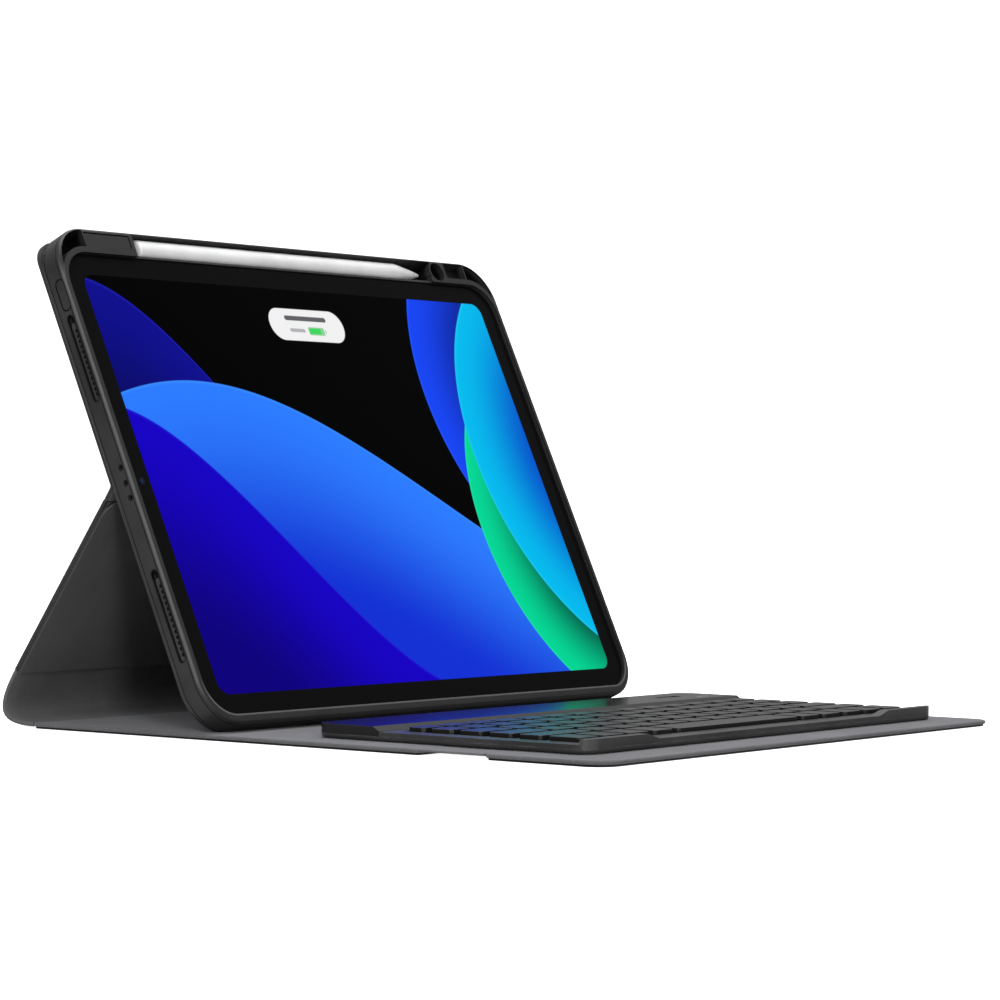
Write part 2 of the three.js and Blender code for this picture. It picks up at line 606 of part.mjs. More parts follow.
function makeKeyboardCase() {
  const cavity = keyboardOutline(1.4);
  const floorTop = KEYBOARD.under + 0.55;
  const lower = slab(keyboardOutline(0), KEYBOARD.under, KEYBOARD.under + 20, 1.1);
  const bottom = cut(
    lower.intersect(block(-150, 150, -150, 50, 0, SHELL_SPLIT)),
    slab(cavity, floorTop, 20),
  );
  add(model, "keyboard_bottom_shell", bottom, "deck");

  // Deck around the keys, with a raised lip at each front corner.
  const above = SHELL_SPLIT + GAP;
  const lipFront = KEYBOARD.front;
  const lipRear = lipFront + 3.6;
  const lipTop = 7.25;
  const lipEnd = 76;
  const lipFoot = 69.5;
  let deck = slab(keyboardOutline(0), above, KEYBOARD.deck);
  const lips = [-1, 1].map((side) => {
    const outline = polygon(side < 0
      ? [[-KEYBOARD.half, above], [-lipFoot, above], [-lipFoot, KEYBOARD.deck], [-lipEnd, lipTop], [-KEYBOARD.half, lipTop]]
      : [[lipFoot, above], [KEYBOARD.half, above], [KEYBOARD.half, lipTop], [lipEnd, lipTop], [lipFoot, KEYBOARD.deck]]);
    return plate(outline, lipFront, lipRear).intersect(slab(keyboardOutline(0), 0, 20));
  });
  deck = join(deck, ...lips);
  deck = cut(
    deck,
    block(-150, 150, BAR_FOOT, 50, 0, 20),
    block(-WELL.half, WELL.half, WELL.front, WELL.rear, 0, 20),
  );
  add(model, "keyboard_deck", deck, "deck");

  // Rear cover: a glossy raised bar, hollow underneath for the battery and the board.
  const profile = polygon([
    [BAR_FOOT + GAP, above], [KEYBOARD.rear, above], [KEYBOARD.rear, KEYBOARD.bar],
    [BAR_FRONT, KEYBOARD.bar], [BAR_FOOT + GAP, KEYBOARD.deck + 0.1],
  ]);
  const hollow = block(
    -KEYBOARD.half + 2, KEYBOARD.half - 2, BAR_FRONT + 0.6, KEYBOARD.rear - 1.4, 0, KEYBOARD.bar - 0.7,
  );
  const s = SWITCH;
  const cover = cut(
    bar(profile, -KEYBOARD.half, KEYBOARD.half).intersect(slab(keyboardOutline(0), 0, 20)),
    hollow.intersect(slab(cavity, 0, 20)),
    slab(roundedRect(s.x0, s.y - s.half - 0.3, s.x1, s.y + s.half + 0.3, s.half + 0.2), 0, 20),
    block(LENS.x0 - 0.2, LENS.x1 + 0.2, LENS.y - LENS.half - 0.2, LENS.y + LENS.half + 0.2, 0, 20),
    block(PORT_SHELL.x0, 120, PORT_SHELL.y - PORT_SHELL.half - 0.2, PORT_SHELL.y + PORT_SHELL.half + 0.2,
      PORT_SHELL.low - 0.1, PORT_SHELL.high + 0.1),
  );
  add(model, "keyboard_rear_cover", cover, "gloss");
}

function makeKeyboardInside() {
  const floor = KEYBOARD.under + 0.65;
  const plateOutline = chamferedRect(-105, -110, 105, WELL.rear - 0.3, 3);
  add(model, "key_support_plate", slab(plateOutline, floor, floor + 0.35), "aluminium");
  add(model, "key_membrane", slab(plateOutline, floor + 0.4, floor + 0.75), "membrane");
  const roof = KEYBOARD.bar - 0.8;
  add(model, "keyboard_battery", slab(chamferedRect(-37, BAR_FRONT + 1.2, 37, -5, 1), floor, roof - 0.3), "battery");
  add(model, "circuit_board", slab(chamferedRect(40, -15.5, 101, -5, 1), floor, floor + 0.8), "circuit");
  for (const [side, name] of [[-1, "keyboard_magnet_left"], [1, "keyboard_magnet_right"]]) {
    const x0 = side * DOCK.x - DOCK.length / 2;
    add(model, name, block(x0, x0 + DOCK.length, DOCK.y, DOCK.y + DOCK.width, floor, floor + 1.2), "magnet");
  }
  const p = PORT_SHELL;
  const shellOutline = roundedRect(p.y - p.half, p.low, p.y + p.half, p.high, 1);
  const mouth = roundedRect(p.y - p.half + 0.35, p.low + 0.35, p.y + p.half - 0.35, p.high - 0.35, 0.7);
  const port = cut(bar(shellOutline, p.x0 + 0.2, KEYBOARD.half - 0.2), bar(mouth, p.x0 + 0.8, KEYBOARD.half + 1));
  add(model, "charge_port", port, "aluminium");
  const l = LENS;
  add(model, "indicator_lens", block(l.x0, l.x1, l.y - l.half, l.y + l.half, roof - 1, KEYBOARD.bar), "lens");
  const s = SWITCH;
  const knob = roundedRect(s.x0 + 0.5, s.y - s.half, s.x1 - s.travel - 0.7, s.y + s.half, s.half - 0.1);
  add(model, "power_switch", slab(knob, roof - 1.4, KEYBOARD.bar - 0.25), "tray");
}

makeBase();
makeFlap();
makeTray();
makeTrayButtons();
makeUpperBack();
makeTablet();
makeStylus();
makeLowerBack();
makeMidCrease();
makeSpine();
makeKeyboardCase();
makeKeyboardInside();
makeKeys();

export default model;
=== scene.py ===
"""Looks of the tablet keyboard case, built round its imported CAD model. Metres, Z up."""

import math

import bpy
import bmesh
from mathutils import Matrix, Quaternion, Vector


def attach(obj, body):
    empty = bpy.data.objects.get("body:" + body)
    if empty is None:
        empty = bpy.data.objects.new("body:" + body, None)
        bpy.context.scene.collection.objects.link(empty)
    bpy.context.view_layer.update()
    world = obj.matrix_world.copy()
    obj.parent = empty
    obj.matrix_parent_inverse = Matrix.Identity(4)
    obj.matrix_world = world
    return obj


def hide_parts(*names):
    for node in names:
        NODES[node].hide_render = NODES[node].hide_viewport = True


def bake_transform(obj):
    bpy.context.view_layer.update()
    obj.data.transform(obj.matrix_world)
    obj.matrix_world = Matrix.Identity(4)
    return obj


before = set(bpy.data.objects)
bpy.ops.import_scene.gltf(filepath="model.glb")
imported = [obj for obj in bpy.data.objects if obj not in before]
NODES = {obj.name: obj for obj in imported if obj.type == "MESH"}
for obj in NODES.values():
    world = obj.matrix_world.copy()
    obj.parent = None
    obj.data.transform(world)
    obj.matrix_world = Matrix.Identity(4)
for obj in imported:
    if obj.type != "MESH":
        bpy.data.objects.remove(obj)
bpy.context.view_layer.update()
MM = 0.001

# ---------------------------------------------------------------- frames of the leaning panels

LEAN = math.radians(24.8)
BACK_LEAN = math.radians(35.44)
SCREEN_Y, SCREEN_Z = 35.5, 15.07          # mm, lower edge of the lit screen
FOLD_DEPTH, FOLD_U = 10.2, 79.4           # mm, the middle fold in the tray's frame
FOLD_Y = SCREEN_Y + FOLD_DEPTH * math.cos(LEAN) + FOLD_U * math.sin(LEAN)
FOLD_Z = SCREEN_Z - FOLD_DEPTH * math.sin(LEAN) + FOLD_U * math.cos(LEAN)


def flat(x, y, z):
    """A point on the base: millimetres as they are."""
    return Vector((x, y, z)) * MM


def tray(x, u, depth):
    """x along the case, u up the tablet, depth back from the glass, in millimetres."""
    y = SCREEN_Y + depth * math.cos(LEAN) + u * math.sin(LEAN)
    z = SCREEN_Z - depth * math.sin(LEAN) + u * math.cos(LEAN)
    return Vector((x, y, z)) * MM


def back(x, u, depth):
    """x along the case, u up the lower back panel from the fold, depth outwards from its inner face."""
    y = FOLD_Y + depth * math.cos(BACK_LEAN) - u * math.sin(BACK_LEAN)
    z = FOLD_Z + depth * math.sin(BACK_LEAN) + u * math.cos(BACK_LEAN)
    return Vector((x, y, z)) * MM


# ---------------------------------------------------------------- material helpers

PLASTIC_GRAIN = 5200.0                     # noise scale of the spark-eroded grain
HAIR_STRETCH = (0.04, 1.0, 1.0)            # hairlines run along the case


def shade_of(colour, factor, lift=0.0):
    """A colour made darker or paler."""
    return tuple(min(1.0, c * factor + lift) for c in colour)


class Graph:
    """Short calls for building one material's nodes."""

    def __init__(self, name):
        self.material = bpy.data.materials.new(name)
        self.material.use_nodes = True
        self.tree = self.material.node_tree
        self.tree.nodes.clear()
        self.out = self.node("ShaderNodeOutputMaterial")
        self.coords = self.node("ShaderNodeTexCoord").outputs["Object"]

    def node(self, kind, **settings):
        made = self.tree.nodes.new(kind)
        for key, value in settings.items():
            setattr(made, key, value)
        return made

    def split(self, vector):
        """The x, y and z parts of a vector."""
        parts = self.node("ShaderNodeSeparateXYZ")
        self.put(parts.inputs[0], vector)
        return parts.outputs

    def normal(self):
        return self.node("ShaderNodeNewGeometry").outputs["Normal"]

    def put(self, socket, value):
        if isinstance(value, bpy.types.NodeSocket):
            self.tree.links.new(value, socket)
        elif value is not None:
            socket.default_value = value

    def math(self, operation, a, b=None, c=None):
        made = self.node("ShaderNodeMath", operation=operation)
        for socket, value in zip(made.inputs, (a, b, c)):
            self.put(socket, value)
        return made.outputs[0]

    def product(self, first, *others):
        for other in others:
            first = self.math("MULTIPLY", first, other)
        return first

    def ramp(self, value, low, high, out_low=0.0, out_high=1.0):
        made = self.node("ShaderNodeMapRange", interpolation_type="SMOOTHSTEP")
        for socket, number in zip(made.inputs, (value, low, high, out_low, out_high)):
            self.put(socket, number)
        return made.outputs[0]

    def mix(self, share, a, b):
        made = self.node("ShaderNodeMix", data_type="RGBA")
        self.put(made.inputs[0], share)
        for socket, value in ((made.inputs[6], a), (made.inputs[7], b)):
            self.put(socket, (*value, 1.0) if isinstance(value, tuple) else value)
        return made.outputs[2]

    def mottled(self, patches, colour, dark, pale, low=0.3, high=0.7):
        """A colour that wanders between a darker and a paler shade of itself."""
        return self.mix(self.ramp(patches, low, high), shade_of(colour, dark), shade_of(colour, pale))

    def noise(self, scale, detail=3.0, stretch=None, rough=0.5):
        made = self.node("ShaderNodeTexNoise")
        coords = self.coords
        if stretch:
            mapping = self.node("ShaderNodeMapping")
            self.put(mapping.inputs["Vector"], coords)
            mapping.inputs["Scale"].default_value = stretch
            coords = mapping.outputs[0]
        self.put(made.inputs["Vector"], coords)
        self.put(made.inputs["Scale"], scale)
        self.put(made.inputs["Detail"], detail)
        self.put(made.inputs["Roughness"], rough)
        return made.outputs[0]

    def voronoi(self, scale):
        made = self.node("ShaderNodeTexVoronoi")
        self.put(made.inputs["Vector"], self.coords)
        self.put(made.inputs["Scale"], scale)
        return made.outputs["Distance"]

    def bump(self, height, distance):
        made = self.node("ShaderNodeBump")
        self.put(made.inputs["Strength"], 1.0)
        self.put(made.inputs["Distance"], distance)
        self.put(made.inputs["Height"], height)
        return made.outputs[0]

    def edges(self, radius):
        """1 near an edge of the mesh, 0 on its flat parts."""
        soft = self.node("ShaderNodeBevel", samples=4)
        soft.inputs["Radius"].default_value = radius
        dot = self.node("ShaderNodeVectorMath", operation="DOT_PRODUCT")
        self.put(dot.inputs[0], soft.outputs[0])
        self.put(dot.inputs[1], self.normal())
        return self.ramp(dot.outputs["Value"], 0.995, 0.86)

    def shade(self, **values):
        shader = self.node("ShaderNodeBsdfPrincipled")
        for key, value in values.items():
            if isinstance(value, tuple):
                value = (*value, 1.0)
            self.put(shader.inputs[key.replace("_", " ")], value)
        self.tree.links.new(shader.outputs[0], self.out.inputs[0])
        return self.material


def plastic(name, colour, rough, edge_wear_and_highlight=1.6, spec=0.45):
    """Moulded plastic: spark-eroded grain, faint flow marks, edges a little polished and paler, partly from
    wear and partly a painted highlight.
    """
    g = Graph(name)
    patches = g.noise(38.0, 4.0)
    base = g.mottled(patches, colour, 0.75, 1.25, 0.35, 0.65)
    # Edges lifted paler: partly wear, partly a painted highlight.
    edge = g.edges(0.0004)
    scuffs = g.ramp(g.noise(160.0, 5.0), 0.42, 0.68)
    share = g.product(edge, g.math("MULTIPLY_ADD", scuffs, 0.6, 0.4))
    base = g.mix(share, base, shade_of(colour, edge_wear_and_highlight, 0.004))
    roughness = g.ramp(patches, 0.3, 0.7, rough - 0.04, rough + 0.05)
    return g.shade(
        Base_Color=base, Roughness=g.math("ADD", roughness, g.product(edge, -0.08)), Specular_IOR_Level=spec,
        Normal=g.bump(g.noise(PLASTIC_GRAIN, 2.0), 0.00002),
    )


def leather(name, colour, rough, pebble=1500.0, depth=0.00006, spec=0.4, cut_ends=0.0):
    """Coated fabric with a fine pebble grain, paler at its edges where it is bent or rubbed, partly wear and
    partly a painted highlight, darker on its cut ends.
    """
    g = Graph(name)
    cells = g.voronoi(pebble)
    creases = g.noise(420.0, 6.0, rough=0.6)
    tone = g.mottled(g.noise(22.0, 4.0), colour, 0.82, 1.2)
    tone = g.mix(g.ramp(cells, 0.0, 0.35, 0.0, 0.35), tone, shade_of(colour, 1.5))
    # Paler edges: partly wear, partly a painted highlight.
    wear_and_highlight = g.product(g.edges(0.0005), g.ramp(creases, 0.35, 0.6, 0.3, 1.0))
    tone = g.mix(wear_and_highlight, tone, shade_of(colour, 1.9, 0.005))
    if cut_ends:
        sideways = g.math("ABSOLUTE", g.split(g.normal())[0])
        tone = g.mix(g.ramp(sideways, 0.75, 0.95, 0.0, cut_ends), tone, shade_of(colour, 0.25))
    height = g.math("ADD", g.product(cells, 0.8), g.product(creases, 0.5))
    return g.shade(
        Base_Color=tone, Roughness=g.ramp(creases, 0.3, 0.7, rough - 0.06, rough + 0.08),
        Specular_IOR_Level=spec, Sheen_Weight=0.06, Sheen_Roughness=0.5, Normal=g.bump(height, depth),
    )


def microfibre(name, colour, sheen=0.25):
    """Short brushed nap: fibres lie along Y in soft patches."""
    g = Graph(name)
    fibres = g.noise(2600.0, 4.0, stretch=(1.0, 0.25, 1.0))
    fuzz = g.noise(6000.0, 2.0)
    tone = g.mottled(g.noise(30.0, 5.0, rough=0.6), colour, 0.86, 1.12)
    tone = g.mix(g.ramp(fibres, 0.4, 0.7, 0.0, 0.35), tone, shade_of(colour, 1.5))
    height = g.math("ADD", g.product(fibres, 0.7), g.product(fuzz, 0.4))
    return g.shade(
        Base_Color=tone, Roughness=0.92, Specular_IOR_Level=0.2,
        Sheen_Weight=sheen, Sheen_Roughness=0.4, Sheen_Tint=(0.84, 0.85, 0.9), Normal=g.bump(height, 0.00007),
    )


def metal(name, colour, rough, stretch=None):
    """Machined or rolled metal: fine streaks, faint patches, edges a little brighter."""
    g = Graph(name)
    streaks = g.noise(3000.0, 3.0, stretch=stretch)
    tone = g.mottled(g.noise(45.0, 4.0), colour, 0.88, 1.1)
    # Brighter edges: partly wear, partly a painted highlight.
    tone = g.mix(g.product(g.edges(0.0003), 0.7), tone, shade_of(colour, 1.5))
    return g.shade(
        Base_Color=tone, Metallic=1.0, Roughness=g.ramp(streaks, 0.3, 0.7, rough - 0.06, rough + 0.08),
        Normal=g.bump(streaks, 0.00001),
    )


def gloss(name, colour, rough, edge_wear_and_highlight=1.2):
    """Polished plastic or glass with a faint orange peel and fine hairlines."""
    g = Graph(name)
    hairs = g.noise(1800.0, 4.0, stretch=HAIR_STRETCH)
    patches = g.noise(60.0, 4.0)
    tone = g.mottled(patches, colour, 0.93, 1.05)
    # Paler edges: partly wear, partly a painted highlight.
    tone = g.mix(g.product(g.edges(0.0003), 0.6), tone, shade_of(colour, edge_wear_and_highlight))
    roughness = g.ramp(patches, 0.3, 0.7, rough, rough + 0.03)
    roughness = g.math("ADD", roughness, g.ramp(hairs, 0.62, 0.72, 0.0, 0.05))
    return g.shade(
        Base_Color=tone, Roughness=roughness, Specular_IOR_Level=0.5,
        Normal=g.bump(g.noise(700.0, 2.0), 0.000004),
    )


def tray_coordinates(g):
    """x, u and depth in millimetres in the leaning tray's frame, from a piece's own coordinates."""
    across, behind, above = g.split(g.coords)
    x = g.product(across, 1000.0)
    y = g.math("MULTIPLY_ADD", behind, 1000.0, -SCREEN_Y)
    z = g.math("MULTIPLY_ADD", above, 1000.0, -SCREEN_Z)
    u = g.math("ADD", g.product(y, math.sin(LEAN)), g.product(z, math.cos(LEAN)))
    depth = g.math("SUBTRACT", g.product(y, math.cos(LEAN)), g.product(z, math.sin(LEAN)))
    return x, u, depth


def length(g, a, b):
    """The length of the vector (a, b)."""
    return g.math("SQRT", g.math("ADD", g.product(a, a), g.product(b, b)))


def box_distance(g, x, u, cx, cu, half_x, half_u, corner):
    """Distance in millimetres to a rounded box: negative inside."""
    def beyond(value, middle, half):
        off = g.math("ABSOLUTE", g.math("SUBTRACT", value, middle))
        return g.math("MAXIMUM", g.math("SUBTRACT", off, half - corner), 0.0)

    return g.math("SUBTRACT", length(g, beyond(x, cx, half_x), beyond(u, cu, half_u)), corner)


# Outlines in the tray's frame, in millimetres: middle x and u, half width and height, corner.
TABLET_OPENING = (0.0, 80.35, 123.8, 88.25, 12.8)
TRAY_INSIDE = (0.0, 85.0, 126.0, 92.6, 16.0)

# Openings in the side walls, in millimetres: low and high end, depth of the centre line, half width.
SPEAKER_SPANS = {"lower": (13.3, 47.2), "upper": (111.3, 144.3)}
WALL_OPENINGS = [(146.4, 158.0, 1.5, 1.85)] + [(*span, 1.75, 1.3) for span in SPEAKER_SPANS.values()]
WALL_GROOVES = (-0.15, 5.85)               # mm, depth of each groove's middle
SHADOW = (0.002, 0.002, 0.002)


def tray_material():
    """Soft-touch tray plastic with painted light: painted shade on the lip's front and lower edge, painted
    highlights on its crest and shoulder, painted shadow in grooves, openings and recesses.
    """
    g = Graph("tray_plastic")
    x, u, depth = tray_coordinates(g)
    patches = g.noise(38.0, 4.0)
    tone = g.mix(g.ramp(patches, 0.35, 0.65), (0.026, 0.026, 0.0265), (0.038, 0.038, 0.039))
    # Paler edges: partly wear, partly a painted highlight.
    scuffs = g.ramp(g.noise(160.0, 5.0), 0.42, 0.68, 0.4, 1.0)
    tone = g.mix(g.product(g.edges(0.00035), scuffs), tone, (0.07, 0.07, 0.072))
    # Painted shade on the lip's front, then painted shade along the tray's lower edge.
    tone = g.mix(g.ramp(depth, -0.6, -1.4, 0.0, 0.78), tone, (0.008, 0.008, 0.008))
    underside_shade = g.product(g.ramp(u, -9.2, -11.0), g.ramp(depth, 0.4, -0.4), 0.8)
    tone = g.mix(underside_shade, tone, (0.006, 0.006, 0.006))

    # Painted highlights: the lip is paler on its inner edge below the screen, and on its outer shoulder up
    # the sides.
    rim = box_distance(g, x, u, *TABLET_OPENING)
    crest_highlight = g.product(g.ramp(rim, 0.8, 0.35), g.ramp(depth, -1.2, -1.6), g.ramp(u, 8.0, -3.0))
    tone = g.mix(g.product(crest_highlight, 0.7), tone, (0.16, 0.16, 0.165))
    shoulder_highlight = g.product(g.ramp(rim, 1.5, 1.85), g.ramp(depth, -0.55, -0.85))
    shoulder_highlight = g.product(shoulder_highlight, g.ramp(u, -3.0, 8.0), g.ramp(u, 164.0, 158.0), 0.8)
    tone = g.mix(shoulder_highlight, tone, (0.085, 0.085, 0.088))

    # Painted shade: the pen channel and the open corners are painted near black inside.
    recess_shade = g.ramp(box_distance(g, x, u, *TRAY_INSIDE), 0.0, -0.3)
    recess_shade = g.product(recess_shade, g.ramp(rim, 2.3, 2.6), g.ramp(depth, -0.6, 1.2))
    tone = g.mix(recess_shade, tone, (0.0025, 0.0025, 0.0025))

    # Shadow lines round the openings in the side walls, and in the two grooves round the wall.
    wall = g.ramp(g.math("ABSOLUTE", x), 124.6, 125.4)
    for low, high, centre, half in WALL_OPENINGS:
        off = box_distance(g, u, depth, (low + high) / 2, centre, (high - low) / 2, half, half - 0.05)
        tone = g.mix(g.product(wall, g.ramp(g.math("ABSOLUTE", off), 0.5, 0.25)), tone, SHADOW)
    for middle in WALL_GROOVES:
        off = g.math("ABSOLUTE", g.math("SUBTRACT", depth, middle))
        tone = g.mix(g.ramp(off, 0.36, 0.22, 0.0, 0.45), tone, SHADOW)
    rough = g.math("ADD", g.ramp(patches, 0.3, 0.7, 0.4, 0.48), g.product(crest_highlight, -0.1))
    return g.shade(
        Base_Color=tone, Roughness=rough, Specular_IOR_Level=0.42,
        Normal=g.bump(g.noise(PLASTIC_GRAIN, 2.0), 0.00002),
    )


# ---------------------------------------------------------------- the screen's picture
# Plain waves and discs in blues, cyan and green over black, in millimetres on the glass.

SCREEN_HALF, SCREEN_HIGH, SCREEN_CORNER = 114.9, 160.5, 5.0
LENS_AT = (-118.9, 80.2)                   # the front camera, in the bezel
BLACK = (0.0, 0.0, 0.0)

# The notice, from the back: outline (middle x and u, half sizes, corner), softness of its edge, colour.
NOTICE = (
    ((0.5, 145.6, 21.5, 6.7, 6.6), 0.2, (0.88, 0.88, 0.89)),       # white pill
    ((0.5, 148.4, 12.0, 1.0, 0.95), 0.2, (0.12, 0.12, 0.13)),      # dark bar
    ((-6.0, 143.3, 4.4, 0.75, 0.7), 0.2, (0.45, 0.45, 0.47)),      # grey bar
    ((5.0, 143.3, 4.6, 1.7, 0.8), 0.15, (0.30, 0.62, 0.33)),       # battery
    ((4.2, 143.3, 3.4, 1.2, 0.5), 0.15, (0.05, 0.68, 0.12)),       # its charge
    ((10.4, 143.3, 0.35, 0.7, 0.3), 0.15, (0.30, 0.62, 0.33)),     # its cap
)


def screen_material():
    """The glass: a lit picture inside a black bezel with a small camera."""
    g = Graph("screen_glass_lit")
    x, u, _depth = tray_coordinates(g)

    def disc(cx, cu, radius):
        return g.math("SUBTRACT", length(g, g.math("SUBTRACT", x, cx), g.math("SUBTRACT", u, cu)), radius)

    def wave(middle, swing, start, span):
        """Negative below a cosine that falls for span millimetres from its crest at start."""
        turn = g.product(g.math("SUBTRACT", x, start), math.pi / span)
        turn = g.math("MAXIMUM", g.math("MINIMUM", turn, math.pi), -math.pi)
        return g.math("SUBTRACT", u, g.math("MULTIPLY_ADD", g.math("COSINE", turn), swing, middle))

    def layer(below, distance, near, far, reach, rim):
        """Paints inside a distance field: a rim colour, then near to far over reach millimetres."""
        body = g.mix(g.ramp(distance, 0.0, -reach), near, far)
        body = g.mix(g.ramp(distance, -1.6, 0.0, 0.0, 0.45), body, rim)
        return g.mix(g.ramp(distance, 0.25, -0.25), below, body)

    # From the back: a navy, an azure and a royal wave, then a blue, a green and a cyan disc at the right.
    navy = wave(78.0, 82.0, -122.0, 175.0)
    azure = wave(70.0, 50.0, -76.0, 250.0)
    royal = wave(52.0, 58.0, -128.0, 158.0)
    shapes = (
        (navy, (0.004, 0.004, 0.27), (0.002, 0.002, 0.12), 60.0, (0.02, 0.02, 0.6)),
        (azure, (0.025, 0.2, 1.0), (0.006, 0.03, 0.66), 80.0, (0.06, 0.32, 1.0)),
        (royal, (0.008, 0.0, 0.55), (0.004, 0.0, 0.2), 90.0, (0.02, 0.02, 0.75)),
        (disc(150.0, 118.0, 92.0), (0.008, 0.06, 0.9), (0.002, 0.01, 0.2), 42.0, (0.02, 0.12, 1.0)),
        (disc(150.0, 60.0, 86.0), (0.0, 0.68, 0.3), (0.0, 0.06, 0.05), 36.0, (0.02, 0.8, 0.4)),
        (disc(174.0, 92.0, 98.0), (0.0, 0.5, 0.86), (0.0, 0.08, 0.6), 44.0, (0.02, 0.66, 0.95)),
    )
    picture = BLACK
    for distance, near, far, reach, rim in shapes:
        picture = layer(picture, distance, near, far, reach, rim)
    for outline, soft, colour in NOTICE:
        picture = g.mix(g.ramp(box_distance(g, x, u, *outline), soft, -soft), picture, colour)

    lit = box_distance(g, x, u, 0.0, SCREEN_HIGH / 2, SCREEN_HALF, SCREEN_HIGH / 2, SCREEN_CORNER)
    lit_share = g.ramp(lit, 0.12, -0.12)
    glow = g.mix(lit_share, BLACK, picture)

    bezel = g.mix(lit_share, (0.005, 0.005, 0.0055), BLACK)
    ring = g.mix(g.ramp(disc(*LENS_AT, 1.25), 0.2, -0.1), bezel, (0.012, 0.016, 0.03))
    pupil = g.mix(g.ramp(disc(*LENS_AT, 0.55), 0.15, -0.15), ring, (0.01, 0.03, 0.09))
    smear = g.noise(26.0, 6.0, rough=0.7)
    return g.shade(
        Base_Color=pupil, Roughness=g.ramp(smear, 0.35, 0.7, 0.05, 0.11), Specular_IOR_Level=0.02,
        Emission_Color=glow, Emission_Strength=1.0,
    )


def bar_material():
    """The keyboard's rear cover: polished on top, moulded grain on its upright sides, which are painted paler
    for the light on them; a painted highlight along its edges.
    """
    g = Graph("rear_cover_gloss")
    top = g.ramp(g.split(g.normal())[2], 0.93, 0.985)
    # Upright sides painted paler than the top for the light on them.
    tone = g.mix(top, (0.02, 0.02, 0.0205), (0.005, 0.005, 0.0055))
    tone = g.mix(g.ramp(g.noise(60.0, 4.0), 0.3, 0.7, 0.0, 0.25), tone, (0.009, 0.009, 0.0095))
    # Painted highlight along the edges.
    tone = g.mix(g.product(g.edges(0.0003), 0.5), tone, (0.09, 0.09, 0.092))
    hairs = g.noise(1800.0, 4.0, stretch=HAIR_STRETCH)
    rough = g.math("ADD", g.ramp(top, 0.0, 1.0, 0.42, 0.2), g.ramp(hairs, 0.55, 0.72, 0.0, 0.05))
    grain = g.product(g.noise(PLASTIC_GRAIN, 2.0), g.math("SUBTRACT", 1.0, top))
    return g.shade(
        Base_Color=tone, Roughness=rough, Specular_IOR_Level=g.ramp(top, 0.0, 1.0, 0.22, 0.75),
        Normal=g.bump(grain, 0.00002),
    )


def key_material():
    """Key caps: satin on top, sides painted a little paler for the light on them, edges paler from wear and a
    painted highlight, painted shade near black towards their feet and in the gaps.
    """
    g = Graph("key_plastic")
    foot_shade = g.ramp(g.split(g.coords)[2], 0.0052, 0.0058)
    top = g.ramp(g.split(g.normal())[2], 0.3, 0.8)
    tone = g.mix(g.ramp(g.noise(45.0, 4.0), 0.3, 0.7), (0.008, 0.008, 0.0085), (0.012, 0.012, 0.0125))
    # Sides painted a shade paler than the tops for the light on them.
    tone = g.mix(top, (0.013, 0.013, 0.013), tone)
    shine = g.noise(300.0, 5.0)
    # Paler edges: partly wear, partly a painted highlight.
    wear_and_highlight = g.product(g.edges(0.00025), g.ramp(shine, 0.35, 0.6, 0.6, 1.0))
    tone = g.mix(wear_and_highlight, tone, (0.25, 0.25, 0.255))
    # Painted shade: near black towards the feet and in the gaps.
    tone = g.mix(foot_shade, (0.0015, 0.0015, 0.0015), tone)
    return g.shade(
        Base_Color=tone, Roughness=g.ramp(shine, 0.3, 0.7, 0.28, 0.36),
        Specular_IOR_Level=g.ramp(g.product(foot_shade, top), 0.0, 1.0, 0.2, 0.7),
        Normal=g.bump(g.noise(PLASTIC_GRAIN, 2.0), 0.000015),
    )


# ---------------------------------------------------------------- materials

COVER = leather("cover_leather", (0.03, 0.03, 0.032), 0.55)
# A darker copy of the cover leather: painted shade on the panels' undersides and lower edges.
COVER_SHADED = leather("cover_leather_shaded", (0.006, 0.006, 0.007), 0.65, pebble=1900.0, spec=0.2)
INNER = leather(
    "inner_leather", (0.10, 0.10, 0.101), 0.6, pebble=2300.0, depth=0.00003, spec=0.35, cut_ends=0.9,
)
# A slightly darker copy of the lining with less sheen: painted shade on the spine's inside.
SPINE_LINING_SHADED = microfibre("spine_microfibre_shaded", (0.125, 0.125, 0.127), sheen=0.12)
LINING = microfibre("microfibre_lining", (0.132, 0.132, 0.138))
TRAY = tray_material()
BUTTON = plastic("button_plastic", (0.03, 0.03, 0.031), 0.4)
# The deck's edges carry a strong painted highlight.
DECK = plastic("keyboard_plastic", (0.035, 0.035, 0.036), 0.33, edge_wear_and_highlight=4.5, spec=0.55)
KEYS = key_material()
BAR = bar_material()
LENS = gloss("lens_clear", (0.35, 0.35, 0.35), 0.15)
SCREEN = screen_material()
CAMERA = gloss("camera_glass", (0.006, 0.006, 0.008), 0.05)
METAL = metal("tablet_metal", (0.13, 0.13, 0.14), 0.34)
WHITE = gloss("stylus_white", (0.93, 0.93, 0.935), 0.28, edge_wear_and_highlight=1.0)
MAGNET = metal("magnet_metal", (0.5, 0.5, 0.52), 0.25, stretch=(0.1, 1.0, 1.0))
# The support plate and the membrane are darkened as painted shade, so the gaps between the keys read black.
SHEET_METAL_SHADED = metal("support_metal", (0.03, 0.03, 0.031), 0.5, stretch=(0.08, 1.0, 1.0))
PORT = metal("port_metal", (0.5, 0.5, 0.52), 0.3)
BOARD = leather("stiffener_board", (0.25, 0.21, 0.16), 0.85, pebble=900.0, spec=0.1)
